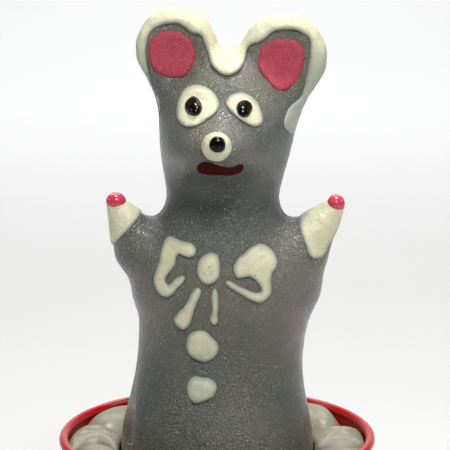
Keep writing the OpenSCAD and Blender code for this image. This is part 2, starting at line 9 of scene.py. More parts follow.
import bpy
import numpy as np
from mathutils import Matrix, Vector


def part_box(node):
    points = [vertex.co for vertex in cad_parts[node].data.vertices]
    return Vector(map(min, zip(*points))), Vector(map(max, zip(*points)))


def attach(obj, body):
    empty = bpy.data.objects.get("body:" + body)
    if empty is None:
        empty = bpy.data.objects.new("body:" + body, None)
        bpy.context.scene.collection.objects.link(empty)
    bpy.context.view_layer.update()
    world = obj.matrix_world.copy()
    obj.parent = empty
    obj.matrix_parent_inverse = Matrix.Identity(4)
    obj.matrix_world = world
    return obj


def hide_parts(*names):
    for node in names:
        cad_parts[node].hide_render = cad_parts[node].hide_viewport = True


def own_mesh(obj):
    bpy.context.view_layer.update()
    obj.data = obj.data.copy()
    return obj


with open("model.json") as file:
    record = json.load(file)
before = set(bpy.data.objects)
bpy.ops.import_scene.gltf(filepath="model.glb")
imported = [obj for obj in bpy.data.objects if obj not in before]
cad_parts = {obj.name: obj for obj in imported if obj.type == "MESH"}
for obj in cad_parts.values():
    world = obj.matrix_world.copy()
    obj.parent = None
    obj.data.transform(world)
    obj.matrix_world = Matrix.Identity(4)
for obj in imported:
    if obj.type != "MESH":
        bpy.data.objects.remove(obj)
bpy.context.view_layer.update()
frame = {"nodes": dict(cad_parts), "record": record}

MM = 0.001

# Driving sizes, in millimetres
HEM_Z = 60.2                     # bottom edge of the rubber figure
RUBBER_WALL = 3.2
SOCKET_R, SOCKET_TOP = 27, 74    # room for the wooden socket inside the figure
CAVITY_TOP = 176
FIGURE_TOP = 214                 # above the highest ear
PAINT_SPREAD = 0.2               # how far thick paint creeps past its outline
PAINT_SUNK = 0.7                 # how deep paint reaches into the rubber, so that no gap shows

CAMERA_AT = (0.0026, -0.6, 0.261)    # metres
CAMERA_PITCH = 11.2                  # degrees below level
CAMERA_LENS = 152.9                  # focal length in millimetres


# ---------- distance fields, in millimetres ----------

def smooth_min(a, b, k):
    """The nearer of two fields, blended over the width k."""
    h = np.clip(0.5 + 0.5 * (b - a) / k, 0, 1)
    return b + (a - b) * h - k * h * (1 - h)


def smooth_max(a, b, k):
    """The farther of two fields, blended over the width k."""
    return -smooth_min(-a, -b, k)


def taper(p, a, ra, b, rb):
    """A round-ended cone from point a to point b, in two or three dimensions."""
    a, b = np.array(a, float), np.array(b, float)
    length = np.linalg.norm(b - a)
    unit = (b - a) / length
    rel = [p[i] - a[i] for i in range(len(a))]
    along = sum(r * u for r, u in zip(rel, unit))
    across = np.sqrt(np.maximum(sum(r * r for r in rel) - along ** 2, 0))
    sine = (ra - rb) / length
    cosine = math.sqrt(1 - sine * sine)
    place = cosine * along - sine * across
    side = cosine * across + sine * along - ra
    low = np.hypot(across, along) - ra
    high = np.hypot(across, along - length) - rb
    return np.where(place < 0, low, np.where(place > cosine * length, high, side))


def ellipsoid(p, centre, size):
    """An ellipsoid whose half widths are size."""
    q = [(p[i] - centre[i]) / size[i] for i in range(3)]
    k0 = np.sqrt(sum(c * c for c in q))
    k1 = np.sqrt(sum((c / s) ** 2 for c, s in zip(q, size)))
    return k0 * (k0 - 1) / np.maximum(k1, 1e-6)


def extruded(d2, across, half, edge):
    """A flat shape with outline field d2, thick by twice half, with its edges rounded by edge."""
    flat = d2 + edge
    deep = np.abs(across) - (half - edge)
    outside = np.hypot(np.maximum(flat, 0), np.maximum(deep, 0))
    return outside + np.minimum(np.maximum(flat, deep), 0) - edge


def strokes(x, z, parts):
    """A drawn line or blob: tapers between (x, z, radius) points."""
    d = None
    for (xa, za, ra), (xb, zb, rb) in zip(parts, parts[1:]):
        one = taper((x, z), (xa, za), ra, (xb, zb), rb)
        d = one if d is None else smooth_min(d, one, 1)
    return d


def lumps(p, seed, wave):
    """Soft unevenness between about -1 and 1, with bumps about wave millimetres apart."""
    rng = np.random.default_rng(seed)
    total = 0
    for _ in range(7):
        way = rng.normal(size=3)
        way *= 2 * math.pi / wave * rng.uniform(0.6, 1.4) / np.linalg.norm(way)
        total = total + np.sin(sum(p[i] * way[i] for i in range(3)) + rng.uniform(0, 6.28))
    return total / 4


def sloped(f, step):
    """Field f scaled so that it grows by one a millimetre."""
    gx, gy, gz = np.gradient(f, step)
    return f / np.maximum(np.sqrt(gx * gx + gy * gy + gz * gz), 0.3)


# ---------- the mouse's skin ----------

# Sections from the base to the crown: height, centre x, half width, half depth
SECTIONS = np.array([
    (58, 0, 31.2, 31.2), (72, 0, 31.2, 31.2), (78, 0, 30.3, 29), (84, 0.2, 28.8, 26),
    (90, 0.4, 27.4, 23.2), (96, 0.8, 26.6, 21.4), (104, 1.4, 26.5, 20), (112, 2.4, 27.4, 20.2),
    (120, 3, 30.2, 20.6), (127, 3, 30.6, 20.4), (133, 2.6, 28.8, 19.4), (139, 1.6, 24.6, 17.2),
    (145, 1.6, 20.3, 15.3), (151, 1.9, 17.9, 14.6), (157, 2.2, 18.6, 15.6), (164, 2.6, 20, 17.6),
    (172, 3, 20.6, 18.4), (180, 3.4, 19.6, 17), (186, 3.6, 16.4, 14), (190, 3.6, 12.5, 11),
    (196, 3.6, 8, 8)
])
TRUNK_POWER = 2.15               # above 2 the sections are a little squarer than ellipses
CROWN_Z = 193                    # top of the trunk, between the ears
EAR_HALF = 4.4                   # half the thickness of the ears, front to back
EAR_EDGE = 3.6                   # radius of their rounded rims
EAR_BORDER = 2.6                 # width of the cream edging on the back
# Each arm as shoulder, its radius, tip, its radius
LEFT_ARM = ((-23.6, -3, 135.3), 9.4, (-31.9, -5, 149.6), 2.3)
RIGHT_ARM = ((26.7, -3, 135.3), 9.2, (37.5, -5, 149.2), 2.2)
MUZZLE = ((0.4, -12, 170), (14.5, 17.5, 10))
# Each ear from the front, as the middle of its round top, radius, root, radius
LEFT_EAR = ((-12.7, 198.8), 11.5, (-3.2, 174), 10.2)
RIGHT_EAR = ((21, 196), 12.4, (10.4, 173.6), 10.4)
BROW_X, BROW_Z, BROW_R = 3.9, 186.2, 10.8


def section_curve(z, column):
    """A smooth curve through one column of the sections, at heights z."""
    zs, vs = SECTIONS[:, 0], SECTIONS[:, column]
    slope = np.gradient(vs, zs)
    i = np.clip(np.searchsorted(zs, z) - 1, 0, len(zs) - 2)
    h = zs[i + 1] - zs[i]
    t = np.clip((z - zs[i]) / h, 0, 1)
    return ((1 + 2 * t) * (1 - t) ** 2 * vs[i] + t * (1 - t) ** 2 * h * slope[i]
            + t * t * (3 - 2 * t) * vs[i + 1] + t * t * (t - 1) * h * slope[i + 1])


def trunk(x, y, z):
    """Body and head without ears, arms and muzzle, as rounded sections stacked up."""
    cx, a, b = (section_curve(z, column) for column in (1, 2, 3))
    f = ((np.abs(x - cx) / a) ** TRUNK_POWER + (np.abs(y) / b) ** TRUNK_POWER) ** (1 / TRUNK_POWER)
    return (f - 1) * np.minimum(a, b)


def head_outline(x, z):
    """Front outline of the ears and of the head between them."""
    left, right = taper((x, z), *LEFT_EAR), taper((x, z), *RIGHT_EAR)
    brow = np.hypot(x - BROW_X, z - BROW_Z) - BROW_R
    return smooth_min(smooth_min(left, right, 2), brow, 3.5)


def skin(x, y, z, step):
    """Outer surface of the moulded rubber, without its fine wear."""
    d = sloped(trunk(x, y, z), step)
    d = smooth_max(d, z - CROWN_Z, 5)
    outline = head_outline(x, z)
    dish = 1.3 * np.clip((-outline - 3) / 6, 0, 1) * np.clip((z - 184) / 6, 0, 1)
    d = smooth_min(d, extruded(outline, y - 1 - dish / 2, EAR_HALF - dish / 2, EAR_EDGE), 7)
    d = smooth_min(d, ellipsoid((x, y, z), *MUZZLE), 8)
    for arm in (LEFT_ARM, RIGHT_ARM):
        d = smooth_min(d, taper((x, y, z), *arm), 5)
    low = np.clip((z - 66) / 12, 0, 1)
    return d + 0.22 * low * lumps((x, y, z), 3, 34) + side_fold(x, y, z)


def side_fold(x, y, z):
    """How far the skin steps back beside its front, low down on the mouse's right."""
    edge = -26.3 + 0.05 * (z - 80)
    step = np.clip((edge - x) / 1.3, 0, 1)
    fade = np.clip((98 - z) / 22, 0, 1) * np.clip((-2 - y) / 8, 0, 1) * np.clip((z - 68) / 7, 0, 1)
    return 1.7 * fade * step * step * (3 - 2 * step)


# ---------- meshes from fields ----------

class Grid:
    """Points step millimetres apart, from low to high."""

    def __init__(self, low, high, step):
        self.low, self.step = np.array(low, float), step
        axes = [np.arange(a, b + step, step) for a, b in zip(low, high)]
        self.x, self.y, self.z = np.meshgrid(*axes, indexing="ij")

    def sample(self, values, points):
        """Values of a grid between its points."""
        at = (points - self.low) / self.step
        i = np.clip(np.floor(at).astype(int), 0, np.array(values.shape) - 2)
        t = np.clip(at - i, 0, 1)
        total = np.zeros(len(points))
        for corner in np.ndindex(2, 2, 2):
            w = np.prod([t[:, k] if corner[k] else 1 - t[:, k] for k in range(3)], axis=0)
            total += w * values[i[:, 0] + corner[0], i[:, 1] + corner[1], i[:, 2] + corner[2]]
        return total


def surface(grid, d, rounds=3):
    """The zero surface of field d, as points in millimetres and four-sided faces.

    Each grid cell that the surface crosses gets one point, and each crossed grid edge one face.
    The points are then evened out and drawn back to the surface, in rounds.
    """
    d = np.pad(d[1:-1, 1:-1, 1:-1], 1, constant_values=grid.step)
    inside = d < 0
    cells = np.array(d.shape) - 1
    count = np.zeros(cells, int)
    total = [np.zeros(cells) for _ in range(3)]

    def block(values, corner, size):
        return values[tuple(slice(c, c + s) for c, s in zip(corner, size))]

    for axis in range(3):
        for corner in np.ndindex(2, 2, 2):
            if corner[axis]:
                continue
            other = tuple(c + (k == axis) for k, c in enumerate(corner))
            a, b = block(d, corner, cells), block(d, other, cells)
            cross = block(inside, corner, cells) != block(inside, other, cells)
            share = np.where(cross, a / np.where(cross, a - b, 1), 0)
            count += cross
            for k in range(3):
                total[k] += cross * (corner[k] + (share if k == axis else 0))
    active = count > 0
    number = np.full(cells, -1)
    number[active] = np.arange(active.sum())
    where = np.argwhere(active)
    middle = np.stack([t[active] for t in total], axis=1) / count[active][:, None]
    points = grid.low + grid.step * (where + middle)
    faces = []
    for axis in range(3):
        u, v = (axis + 1) % 3, (axis + 2) % 3
        size = cells.copy()
        size[u] -= 1
        size[v] -= 1
        first = [1, 1, 1]
        first[axis] = 0
        second = first.copy()
        second[axis] = 1
        a, b = block(inside, first, size), block(inside, second, size)
        at = np.argwhere(a != b) + first
        away = a[a != b]
        back_u, back_v = np.eye(3, dtype=int)[u], np.eye(3, dtype=int)[v]
        ring = [number[tuple((at - s).T)] for s in (back_u + back_v, back_v, 0 * back_u, back_u)]
        quad = np.stack(ring, axis=1)
        faces.append(np.where(away[:, None], quad, quad[:, ::-1]))
    faces = np.concatenate(faces)
    slopes = np.gradient(d, grid.step)

    def to_surface(p):
        value = grid.sample(d, p)
        g = np.stack([grid.sample(s, p) for s in slopes], axis=1)
        move = value[:, None] * g / np.maximum((g * g).sum(1), 0.05)[:, None]
        return p - np.clip(move, -grid.step, grid.step)

    ends = np.concatenate([faces[:, [0, 1]], faces[:, [1, 2]], faces[:, [2, 3]], faces[:, [3, 0]]])
    ends = np.concatenate([ends, ends[:, ::-1]])
    near = np.bincount(ends[:, 0], minlength=len(points))
    for _ in range(rounds):
        total = [np.bincount(ends[:, 0], points[ends[:, 1], k], len(points)) for k in range(3)]
        mean = np.stack(total, axis=1) / near[:, None]
        points = points + 0.5 * (mean - points)
        points = to_surface(to_surface(points))
    return points, faces.tolist()


def piece(name, points, faces, look, body, replaced):
    """A mesh from points in millimetres. It rides on a CAD body and stands for the CAD nodes replaced."""
    mesh = bpy.data.meshes.new(name)
    mesh.from_pydata((points * MM).tolist(), [], faces)
    mesh.validate()
    mesh.shade_smooth()
    obj = bpy.data.objects.new(name, mesh)
    bpy.context.scene.collection.objects.link(obj)
    mesh.materials.append(look)
    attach(obj, body)
    if replaced:
        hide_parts(*replaced)
    return obj


def mark(obj, name, values):
    """A number from 0 to 1 at each point, which a material can read."""
    attribute = obj.data.attributes.new(name, "FLOAT", "POINT")
    attribute.data.foreach_set("value", np.clip(values, 0, 1).astype(np.float32))


# ---------- materials ----------

def socket_colour(srgb):
    """Linear colour from display values between 0 and 255."""
    def one(c):
        c /= 255
        return c / 12.92 if c <= 0.04045 else ((c + 0.055) / 1.055) ** 2.4
    return tuple(one(c) for c in srgb) + (1,)


class Look:
    """A node material that is built up from a principled shader. Colours are display values."""

    def __init__(self, name, colour, **inputs):
        self.material = bpy.data.materials.new(name)
        self.material.use_nodes = True
        self.nodes, self.links = self.material.node_tree.nodes, self.material.node_tree.links
        self.shader = self.nodes["Principled BSDF"]
        self.colour = socket_colour(colour)
        self.normal = None
        for key, value in inputs.items():
            self.shader.inputs[key.replace("_", " ").title().replace("Ior", "IOR")].default_value = value
        self.place = self.nodes.new("ShaderNodeTexCoord").outputs["Object"]

    def put(self, target, value):
        """Links or sets one input."""
        if isinstance(value, bpy.types.NodeSocket):
            self.links.new(value, target)
        else:
            target.default_value = value

    def mix(self, share, a, b):
        """Colour a where share is 0, colour b where it is 1."""
        node = self.nodes.new("ShaderNodeMix")
        node.data_type = "RGBA"
        self.put(node.inputs[0], share)
        self.put(node.inputs[6], a)
        self.put(node.inputs[7], b)
        return node.outputs[2]

    def tint(self, share, colour):
        """Mixes colour over what is there, where share is high."""
        self.colour = self.mix(share, self.colour, socket_colour(colour))
        self.links.new(self.colour, self.shader.inputs["Base Color"])

    def noise(self, size, detail=3.0, rough=0.5, stretch=None):
        """Cloudy values; size is the width of a cloud in millimetres."""
        node = self.nodes.new("ShaderNodeTexNoise")
        node.inputs["Scale"].default_value = 1 / (size * MM)
        node.inputs["Detail"].default_value = detail
        node.inputs["Roughness"].default_value = rough
        self.links.new(self.stretched(stretch), node.inputs["Vector"])
        return node.outputs["Fac"]

    def cells(self, size):
        """Distance to scattered points about size millimetres apart, in shares of size."""
        node = self.nodes.new("ShaderNodeTexVoronoi")
        node.inputs["Scale"].default_value = 1 / (size * MM)
        self.links.new(self.place, node.inputs["Vector"])
        return node.outputs["Distance"]

    def stretched(self, stretch):
        """Places in the object, squeezed along each axis. A squeeze below 1 draws the pattern out."""
        if stretch is None:
            return self.place
        node = self.nodes.new("ShaderNodeMapping")
        node.inputs["Scale"].default_value = stretch
        self.links.new(self.place, node.inputs["Vector"])
        return node.outputs["Vector"]

    def span(self, value, low, high, to_low=0.0, to_high=1.0):
        """Values from low to high, spread from to_low to to_high and held there."""
        node = self.nodes.new("ShaderNodeMapRange")
        self.put(node.inputs["Value"], value)
        for key, number in (("From Min", low), ("From Max", high), ("To Min", to_low), ("To Max", to_high)):
            node.inputs[key].default_value = number
        return node.outputs["Result"]

    def height(self):
        """Height above the floor at rest, in metres."""
        node = self.nodes.new("ShaderNodeSeparateXYZ")
        self.links.new(self.place, node.inputs[0])
        return node.outputs["Z"]

    def times(self, a, b):
        node = self.nodes.new("ShaderNodeMath")
        node.operation = "MULTIPLY"
        self.put(node.inputs[0], a)
        self.put(node.inputs[1], b)
        return node.outputs[0]

    def marked(self, name):
        """The number that mark() left at each point."""
        node = self.nodes.new("ShaderNodeAttribute")
        node.attribute_name = name
        return node.outputs["Fac"]

    def bump(self, height, depth):
        """Relief on top of what is there; depth is in millimetres."""
        node = self.nodes.new("ShaderNodeBump")
        node.inputs["Strength"].default_value = 1
        node.inputs["Distance"].default_value = depth * MM
        self.links.new(height, node.inputs["Height"])
        if self.normal:
            self.links.new(self.normal, node.inputs["Normal"])
        self.normal = node.outputs["Normal"]
        self.links.new(self.normal, self.shader.inputs["Normal"])
        self.links.new(self.normal, self.shader.inputs["Coat Normal"])

    def roughness(self, value):
        self.links.new(value, self.shader.inputs["Roughness"])


def rubber_look():
    """Dipped grey rubber: glossy grain with pale specks painted on as glints, clouds of colour, and painted
    shade under the chin and towards the bottom.
    """
    look = Look("grey_rubber", (112, 110, 102), roughness=0.3, ior=1.55, coat_weight=0.4)
    look.shader.inputs["Coat Roughness"].default_value = 0.2
    # Painted shade: the rubber is made darker towards the bottom, above the collar.
    look.tint(look.span(look.height(), 0.118, 0.085, 0, 0.75), (84, 88, 82))
    look.tint(look.span(look.noise(30, 2), 0.42, 0.62, 0, 0.7), (76, 86, 82))
    look.tint(look.span(look.noise(19, 3), 0.5, 0.68, 0, 0.5), (118, 106, 90))
    # Painted shade: a dark, cold band under the chin, where the head shades the body.
    chin_shade = look.times(look.span(look.height(), 0.139, 0.149), look.span(look.height(), 0.155, 0.166, 1, 0))
    look.tint(look.times(chin_shade, 0.6), (40, 54, 52))
    grain = look.noise(0.7, 2, 0.6)
    look.tint(look.span(grain, 0.28, 0.42, 0.5, 0), (50, 54, 52))
    # Painted highlights: pale specks on the peaks of the grain stand in for its tiny glints, gathered in
    # random patches.
    glint_patches = look.span(look.noise(12, 2), 0.34, 0.6, 0.15, 1)
    painted_glints = look.times(look.span(grain, 0.62, 0.7, 0, 0.85), glint_patches)
    look.tint(painted_glints, (170, 172, 162))
    look.tint(look.span(look.cells(4.2), 0.07, 0.04, 0, 0.8), (36, 38, 38))
    look.roughness(look.span(look.noise(9, 3), 0.3, 0.7, 0.2, 0.36))
    look.bump(look.span(grain, 0.4, 0.72), 0.2)
    look.bump(look.noise(3, 2), 0.16)
    return look.material


def cream_look():
    """Thick cream slip: pinholes, grit, a colder tone where it thins out at the edges, a dark line at its
    edge that is partly painted shadow and partly dirt, and painted shade as a colder tone low down and down
    the ears' outer sides.
    """
    look = Look("cream_paint", (224, 221, 191), roughness=0.38, ior=1.5)
    look.tint(look.span(look.noise(7, 4), 0.45, 0.7, 0, 0.4), (208, 198, 158))
    # Painted shade: the slip is made colder and darker low down.
    look.tint(look.span(look.height(), 0.118, 0.09, 0, 0.6), (180, 196, 176))
    # Colder where the slip thins at its edges; on the ear edging the same mark also carries painted shade
    # down the outer sides.
    look.tint(look.span(look.marked("thin_and_shade"), 0.2, 0.8, 0, 0.7), (150, 166, 158))
    # A dark line just inside the slip's edge: partly painted shadow of the raised edge, partly dirt.
    look.tint(look.span(look.marked("thin_and_shade"), 0.84, 0.98, 0, 0.7), (58, 62, 60))
    holes = look.cells(2.3)
    look.tint(look.span(holes, 0.095, 0.05, 0, 0.85), (86, 78, 64))
    look.tint(look.span(look.noise(0.8, 3, 0.7), 0.62, 0.74, 0, 0.35), (160, 156, 132))
    look.bump(look.span(holes, 0, 0.12), 0.25)
    look.bump(look.noise(1.1, 3, 0.6), 0.3)
    look.bump(look.noise(3.5, 2), 0.5)
    return look.material


def pink_look():
    """Matt pink paint that took up the grain of the rubber."""
    look = Look("pink_paint", (192, 68, 88), roughness=0.5, ior=1.5)
    look.tint(look.span(look.noise(5, 3), 0.42, 0.7, 0, 0.5), (176, 54, 76))
    grain = look.noise(0.7, 3, 0.7)
    look.tint(look.span(grain, 0.56, 0.7, 0, 0.5), (222, 124, 134))
    look.tint(look.span(grain, 0.34, 0.46, 0.5, 0), (130, 36, 54))
    look.bump(grain, 0.45)
    look.bump(look.noise(2.5, 3), 0.14)
    return look.material


def tip_look():
    """Glossy pink paint of the paw tips."""
    look = Look("pink_gloss", (214, 66, 92), roughness=0.16, coat_weight=0.5)
    look.tint(look.span(look.noise(3, 2), 0.45, 0.7, 0, 0.4), (186, 44, 72))
    look.bump(look.noise(1.6, 2), 0.05)
    return look.material


def black_look():
    """Glossy black paint with a few dull spots."""
    look = Look("black_gloss", (9, 8, 9), roughness=0.15, specular_ior_level=0.25)
    look.tint(look.span(look.noise(1.5, 2), 0.5, 0.75, 0, 0.3), (44, 38, 34))
    look.bump(look.noise(0.9, 2), 0.04)
    return look.material


def mouth_look():
    """Thin dark red paint, worn pale along its edge."""
    look = Look("mouth_red", (66, 2, 8), roughness=0.6, specular_ior_level=0.1)
    look.tint(look.span(look.noise(1.2, 3), 0.45, 0.7, 0, 0.5), (44, 3, 7))
    look.tint(look.span(look.marked("thin_and_shade"), 0.86, 1, 0, 0.7), (150, 128, 124))
    look.bump(look.noise(0.5, 2), 0.06)
    return look.material


def vinyl_look():
    """Soft glossy vinyl sheet: painted shade in the valleys between its folds and at its inner edge, a faint
    embossed grain.
    """
    look = Look("vinyl", (148, 144, 124), roughness=0.38, coat_weight=0.12)
    look.shader.inputs["Coat Roughness"].default_value = 0.2
    look.tint(look.span(look.noise(16, 3), 0.4, 0.7, 0, 0.6), (132, 126, 106))
    # Painted shade: darker in the valleys between the folds and where the sheet tucks in at its inner edge.
    look.tint(look.span(look.marked("fold_shade"), 0.25, 1, 0, 0.85), (72, 68, 56))
    look.bump(look.noise(4.5, 3), 0.3)
    look.bump(look.noise(0.5, 2), 0.04)
    return look.material


def enamel_look():
    """Red enamel on tin: cloudy colour, faint orange peel, fine upright scuffs."""
    look = Look("red_enamel", (190, 2, 14), roughness=0.32, coat_weight=0.08)
    look.tint(look.span(look.noise(40, 3), 0.4, 0.7, 0, 0.45), (168, 2, 16))
    scuff = look.noise(1.4, 4, 0.7, stretch=(1, 1, 0.18))
    look.tint(look.span(scuff, 0.7, 0.78, 0, 0.4), (226, 92, 86))
    look.roughness(look.span(look.noise(6, 4), 0.35, 0.7, 0.14, 0.34))
    look.bump(look.noise(2.2, 2), 0.03)
    look.bump(scuff, 0.03)
    return look.material


def metal_look(name, colour, dark, rough, grain):
    """Worked metal with a directional grain and stains."""
    look = Look(name, colour, roughness=rough, metallic=1.0)
    look.tint(look.span(look.noise(5, 4), 0.48, 0.72, 0, 0.6), dark)
    brushed = look.noise(0.5, 3, 0.6, stretch=grain)
    look.roughness(look.span(brushed, 0.3, 0.7, rough * 0.75, rough * 1.35))
    look.bump(brushed, 0.02)
    return look.material


def fibre_look():
    """Brown fibreboard with long fibres and stains."""
    look = Look("fibreboard", (132, 104, 72), roughness=0.85)
    fibres = look.noise(1.2, 5, 0.7, stretch=(1, 0.2, 1))
    look.tint(look.span(fibres, 0.4, 0.65, 0, 0.7), (98, 74, 50))
    look.tint(look.span(look.noise(24, 3), 0.45, 0.7, 0, 0.4), (156, 128, 92))
    look.bump(look.noise(0.8, 4, 0.7), 0.1)
    return look.material


def wood_look():
    """Turned wood with grain along its height."""
    look = Look("turned_wood", (176, 138, 92), roughness=0.6)
    rings = look.noise(1.6, 4, 0.6, stretch=(1, 1, 0.08))
    look.tint(look.span(rings, 0.4, 0.65, 0, 0.7), (132, 94, 56))
    look.bump(rings, 0.08)
    return look.material


RUBBER, CREAM, PINK, TIP = rubber_look(), cream_look(), pink_look(), tip_look()
BLACK, MOUTH, VINYL, ENAMEL = black_look(), mouth_look(), vinyl_look(), enamel_look()
STEEL = metal_look("pressed_steel", (176, 178, 180), (118, 116, 112), 0.32, (1, 1, 0.1))
BLUED = metal_look("blued_spring_steel", (74, 84, 104), (48, 50, 62), 0.28, (1, 0.1, 1))
BRASS = metal_look("worn_brass", (214, 172, 92), (150, 112, 58), 0.3, (0.15, 1, 1))
FIBRE, WOOD = fibre_look(), wood_look()

SLOT_LOOKS = {
    "red_tin": ENAMEL, "fibreboard": FIBRE, "vinyl": VINYL, "steel": STEEL, "spring_steel": BLUED,
    "brass": BRASS, "wood": WOOD, "grey_rubber": RUBBER, "cream_paint": CREAM, "pink_paint": PINK,
    "black_paint": BLACK, "mouth_red": MOUTH
}


def dress_frame():
    """Gives each CAD node the look of its material slot."""
    for part in frame["record"]["subparts"]:
        obj = frame["nodes"][part["node"]]
        for s in obj.material_slots:
            s.material = SLOT_LOOKS[part["material_slot"]]


# ---------- the mouse ----------

def mouse_body():
    """The moulded rubber figure, hollow from below."""
    grid = Grid((-41, -35, 57), (45, 35, FIGURE_TOP), 1.0)
    x, y, z = grid.x, grid.y, grid.z
    d = skin(x, y, z, grid.step)
    # Parting line of the mould, round both sides
    d = d - 0.3 * np.exp(-((y + 1) / 0.8) ** 2) * np.clip((z - 80) / 10, 0, 1)
    socket = np.maximum(np.hypot(x, y) - SOCKET_R, z - SOCKET_TOP)
    hollow = np.minimum(socket, smooth_max(d + RUBBER_WALL, z - CAVITY_TOP, 2))
    d = np.maximum(np.maximum(d, -hollow), HEM_Z - z)
    points, faces = surface(grid, d, 2)
    return piece("rubber_body", points, faces, RUBBER, "mouse", ["mouse_body"])


def rounded(outline, edge):
    """Rises from 0 on an outline to 1 inside it, over the width edge, like a quarter circle."""
    inside = np.clip(-outline / edge, 0, 1)
    return np.sqrt(1 - (1 - inside) ** 2)


def layer(grid, on_skin, outline, tall):
    """Points and faces of a layer on the skin that is tall inside the outline and stops outside it."""
    tall = np.where(outline > 0, -1.2 * outline, tall)
    return surface(grid, np.maximum(on_skin - tall, -on_skin - PAINT_SUNK))


def paint(name, node, slot, drawing, low, high, height, seed, edge=1.5, step=0.5, depth=(-37, -1)):
    """Paint laid on the skin inside the outline field drawing(x, y, z), with a rounded edge.

    low and high are corners of its grid in the front view, clear of the outline, and depth is the
    range in y. The paint is height thick, and its edge rounds over the width edge. It stands for
    a CAD node, if there is one.
    """
    grid = Grid((low[0], depth[0], low[1]), (high[0], depth[1], high[1]), step)
    x, y, z = grid.x, grid.y, grid.z
    on_skin = skin(x, y, z, step)
    outline = drawing(x, y, z) - PAINT_SPREAD + 0.14 * lumps((x, 0 * y, z), seed, 5)
    tall = height * rounded(outline, edge) * (1 + 0.12 * lumps((x, y, z), seed + 1, 4))
    points, faces = layer(grid, on_skin, outline, tall)
    obj = piece(name, points, faces, SLOT_LOOKS[slot], "mouse", [node] if node else [])
    mark(obj, "thin_and_shade", 1 + grid.sample(outline, points) / 1.8)
    return obj


# Outlines of the painted shapes, seen from the front, as (x, z)
BOW_LEFT = [
    (-14.9, 141), (-12.7, 140.5), (-10.4, 139.8), (-8, 139.6), (-6.6, 138.1), (-6.8, 136.3), (-8.4, 135.5),
    (-10.3, 135.7), (-11.9, 136.2), (-12.7, 135), (-13, 133.2), (-14, 131.6), (-15.5, 129.7), (-16.1, 127.9),
    (-15.4, 126.6), (-14.2, 127.2), (-12.6, 128.8), (-11, 129.8), (-10, 129.2), (-10.5, 127.8),
    (-12.2, 125.8), (-13.8, 123.7), (-15.7, 122.6), (-17.7, 123.2), (-19.2, 125.2), (-19.7, 127.8),
    (-19.1, 130.3), (-18.1, 132.9), (-17.8, 135.2), (-17.2, 137.4), (-16.3, 139.6)
]
BOW_RIGHT = [
    (13.1, 139.3), (15.3, 138.7), (17.5, 136.9), (18.8, 134.3), (18.7, 132.2), (17.5, 130.7), (16.9, 128.6),
    (17, 125.9), (16.6, 123.7), (15, 121.9), (13.1, 121.4), (11, 122.1), (8.3, 123.8), (5.6, 125.5),
    (3.5, 126.9), (2.8, 128), (3.8, 128.5), (6.1, 127.2), (8.8, 125.9), (11.5, 124.8), (13.4, 124.8),
    (13.7, 126.1), (12.6, 128), (10.6, 129.6), (8.6, 129.6), (6.7, 129.3), (5.5, 131), (5.3, 133.3),
    (6.7, 135.4), (8.7, 136.8), (10.6, 138.5)
]
KNOT = [
    (-2.2, 137), (0, 136.4), (0.8, 134.8), (1, 132.2), (0.4, 129.5), (-1.1, 127.8), (-3.1, 127.4),
    (-5, 128.5), (-6.1, 131), (-5.7, 133.7), (-4.3, 136)
]
TAIL_LEFT = [
    (-5.9, 126.1), (-5, 125.2), (-5.1, 123.4), (-6.5, 120.6), (-7.4, 118.2), (-7.9, 116), (-8.7, 113.8),
    (-9.9, 112.7), (-11.5, 112.8), (-13, 114.2), (-13.3, 115.9), (-12.4, 117.4), (-10.6, 119.3),
    (-8.9, 122.1), (-7.6, 124.7)
]
TAIL_RIGHT = [
    (-0.7, 126.1), (0.1, 124.9), (0.6, 122.4), (0.5, 119.7), (0.2, 117.5), (0.6, 115.8), (0, 114.7),
    (-1.2, 114.6), (-2.1, 115.6), (-2, 116.8), (-1.4, 118.8), (-1.5, 121.4), (-1.6, 124.2)
]
BUTTON_TOP = [
    (-5.9, 112.4), (-3.7, 112.2), (-1.6, 110.3), (0.2, 108.2), (0.4, 106), (-0.9, 103.6), (-3.4, 102.5),
    (-6, 102.9), (-8.6, 104.4), (-9.6, 106.9), (-9.1, 109.8), (-7.9, 111.5)
]
BUTTON_LOW = [
    (-6.5, 97.9), (-4.3, 97.4), (-2.5, 97.4), (-0.6, 95.9), (-0.2, 94), (-1.3, 91.8), (-3.5, 90.5),
    (-6.4, 89.8), (-8.4, 90.9), (-9.4, 93.1), (-9, 95.5), (-7.9, 97.2)
]
EYE_LEFT = [
    (-7.3, 188.3), (-4, 188.1), (-1, 186.5), (0.7, 183.9), (0.4, 181.9), (-1.8, 179.8), (-4.4, 178.3),
    (-7.6, 177), (-10.6, 177.2), (-12.3, 179.3), (-12.1, 182.7), (-10.2, 186.6)
]
EYE_RIGHT = [
    (7.6, 186.5), (10.5, 185.6), (12.7, 183.2), (14.1, 180.2), (14.2, 177.8), (12.6, 176.8), (9.8, 177.6),
    (6.6, 179.6), (4, 181.8), (3, 183.8), (4.5, 185.8)
]
PUPIL_LEFT = [(-7.1, 185.3), (-5.1, 184.3), (-4.3, 182.7), (-5.1, 180.8), (-7.2, 180.1), (-9.2, 180.9),
              (-9.9, 182.6), (-9.1, 184.4)]
PUPIL_RIGHT = [(8.7, 184.5), (10.6, 183.8), (11.3, 182.1), (10.4, 180.5), (8.6, 179.9), (6.8, 180.6),
               (6, 182.3), (6.9, 183.9)]
PAD_LEFT = [
    (-14.8, 204.3), (-11.6, 203.8), (-8.8, 201.9), (-7, 198.8), (-7.1, 195.6), (-8.6, 192.4), (-10.6, 190.5),
    (-13.4, 190), (-16.6, 190.7), (-19.4, 192.6), (-21, 195.6), (-21, 199.2), (-19.8, 202), (-17.5, 203.8)
]
